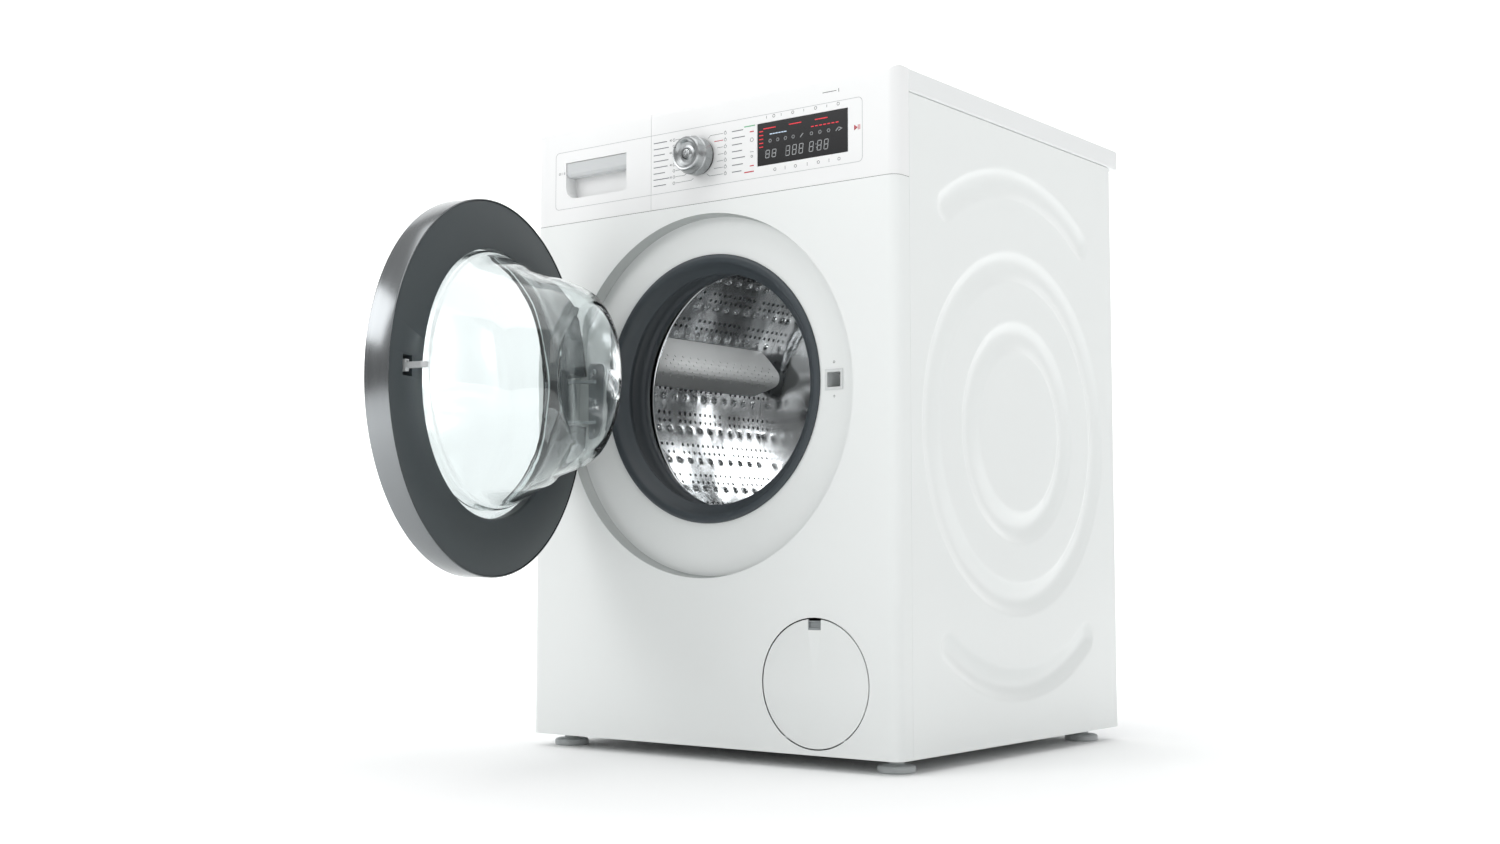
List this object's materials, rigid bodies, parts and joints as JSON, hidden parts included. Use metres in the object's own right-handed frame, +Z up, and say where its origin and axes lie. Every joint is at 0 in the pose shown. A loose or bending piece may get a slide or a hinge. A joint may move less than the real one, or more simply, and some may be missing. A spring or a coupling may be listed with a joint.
{
  "type": "front load washing machine",
  "caption": "Free-standing front load washing machine with an open porthole door, detergent drawer, selector knob and display.",
  "frame": {"origin": "on the floor, under the middle of the machine's box with the door standing open 75 degrees", "axes": "+Z up, -Y out of the front, +X to the right of a person facing the front"},
  "size_m": [0.598, 1.0506, 0.848],
  "materials": {
    "bearing_steel": "ground",
    "black_plastic": "matt",
    "black_rubber": "matt",
    "bowl_glass": "clear",
    "cast_aluminium": "as cast",
    "circuit_board": "satin",
    "concrete": "cast",
    "dark_ring_plastic": "satin",
    "display_glass": "gloss",
    "door_chrome": "polished",
    "drum_steel": "polished",
    "filter_plastic": "matt",
    "galvanised_steel": "satin",
    "gasket_rubber": "satin",
    "grey_polypropylene": "matt",
    "knob_silver": "satin",
    "latch_nylon": "satin",
    "paddle_plastic": "satin",
    "siphon_blue_grey": "matt",
    "spring_steel": "plated",
    "white_abs": "satin",
    "white_enamel": "satin",
    "white_polypropylene": "matt",
    "window_cover": "clear",
    "worktop_laminate": "satin"
  },
  "bodies": {
    "cabinet": {"left_side_panel": "white_enamel", "right_side_panel": "white_enamel", "front_panel": "white_enamel", "rear_panel": "galvanised_steel", "rear_cover": "galvanised_steel", "base_tray": "white_polypropylene", "worktop": "worktop_laminate", "control_panel": "white_abs", "display_window": "display_glass", "control_board": "circuit_board", "dispenser_housing": "white_polypropylene", "dispenser_hose": "black_rubber", "door_lock": "black_plastic", "hinge_bracket": "galvanised_steel", "hinge_pin": "galvanised_steel", "door_gasket": "gasket_rubber", "tub_front": "grey_polypropylene", "tub_rear": "grey_polypropylene", "front_counterweight": "concrete", "upper_counterweight": "concrete", "heater": "bearing_steel", "motor": "galvanised_steel", "drive_belt": "black_rubber", "pump_housing": "grey_polypropylene", "pump_motor": "black_plastic", "sump_hose": "black_rubber", "inlet_valve": "white_polypropylene", "drain_outlet": "grey_polypropylene", "mains_gland": "black_plastic", "left_spring": "spring_steel", "right_spring": "spring_steel", "left_damper": "black_plastic", "right_damper": "black_plastic", "front_bearing": "bearing_steel", "rear_bearing": "bearing_steel"},
    "drum": {"drum_shell": "drum_steel", "drum_back": "drum_steel", "drum_spider": "cast_aluminium", "drum_pulley": "cast_aluminium", "drum_paddle_1": "paddle_plastic", "drum_paddle_2": "paddle_plastic", "drum_paddle_3": "paddle_plastic"},
    "motor_rotor": {"motor_pulley": "galvanised_steel"},
    "door": {"door_rim": "door_chrome", "door_inner_ring": "dark_ring_plastic", "door_bowl": "bowl_glass", "door_window": "window_cover", "door_hinge_leaf": "galvanised_steel"},
    "latch": {"latch_hook": "latch_nylon"},
    "drawer": {"drawer_front": "white_abs", "drawer_tray": "white_polypropylene", "siphon_cap": "siphon_blue_grey"},
    "knob": {"selector_knob": "knob_silver"},
    "power_switch": {"power_button": "knob_silver"},
    "flap": {"service_flap": "white_enamel"},
    "filter": {"filter_cap": "filter_plastic"},
    "foot_front_left": {"front_left_foot": "black_plastic"},
    "foot_front_right": {"front_right_foot": "black_plastic"},
    "foot_back_left": {"back_left_foot": "black_plastic"},
    "foot_back_right": {"back_right_foot": "black_plastic"}
  },
  "joints": [
    {"name": "door_swing", "type": "hinge", "parent": "cabinet", "child": "door", "pos_m": [-0.2262, -0.07869, 0.4645], "axis": [0, 0, -1], "range_deg": [-75, 45]},
    {"name": "latch_pivot", "type": "hinge", "parent": "door", "child": "latch", "pos_m": [-0.10559, -0.48243, 0.474], "axis": [0, 0, 1], "range_deg": [0, 4], "stiffness_Nm_per_rad": 0.6, "springref_deg": -8.59},
    {"name": "drawer_slide", "type": "slide", "parent": "cabinet", "child": "drawer", "axis": [0, -1, 0], "range_m": [0, 0.2]},
    {"name": "knob_turn", "type": "hinge", "parent": "cabinet", "child": "knob", "pos_m": [-0.0035, -0.06869, 0.7745], "axis": [0, -1, 0], "continuous": true},
    {"name": "power_press", "type": "slide", "parent": "cabinet", "child": "power_switch", "axis": [0, 1, 0], "range_m": [0, 0.0015], "stiffness_N_per_m": 400, "springref_m": -0.003},
    {"name": "flap_tip", "type": "hinge", "parent": "cabinet", "child": "flap", "pos_m": [0.177, -0.06779, 0.0374], "axis": [1, 0, 0], "range_deg": [0, 90]},
    {"name": "filter_turn", "type": "hinge", "parent": "cabinet", "child": "filter", "pos_m": [0.177, -0.05669, 0.1034], "axis": [0, -1, 0], "range_deg": [0, 180]},
    {"name": "drum_spin", "type": "hinge", "parent": "cabinet", "child": "drum", "pos_m": [0, 0.02881, 0.474], "axis": [0, 1, 0], "continuous": true},
    {"name": "motor_spin", "type": "hinge", "parent": "cabinet", "child": "motor_rotor", "pos_m": [0.03, 0.43131, 0.15], "axis": [0, 1, 0], "continuous": true},
    {"name": "front_left_foot_screw", "type": "slide", "parent": "cabinet", "child": "foot_front_left", "axis": [0, 0, -1], "range_m": [0, 0.012]},
    {"name": "front_right_foot_screw", "type": "slide", "parent": "cabinet", "child": "foot_front_right", "axis": [0, 0, -1], "range_m": [0, 0.012]},
    {"name": "back_left_foot_screw", "type": "slide", "parent": "cabinet", "child": "foot_back_left", "axis": [0, 0, -1], "range_m": [0, 0.012]},
    {"name": "back_right_foot_screw", "type": "slide", "parent": "cabinet", "child": "foot_back_right", "axis": [0, 0, -1], "range_m": [0, 0.012]}
  ],
  "couplings": [
    {"joint": "motor_spin", "follows": "drum_spin", "ratio": 12.727}
  ]
}
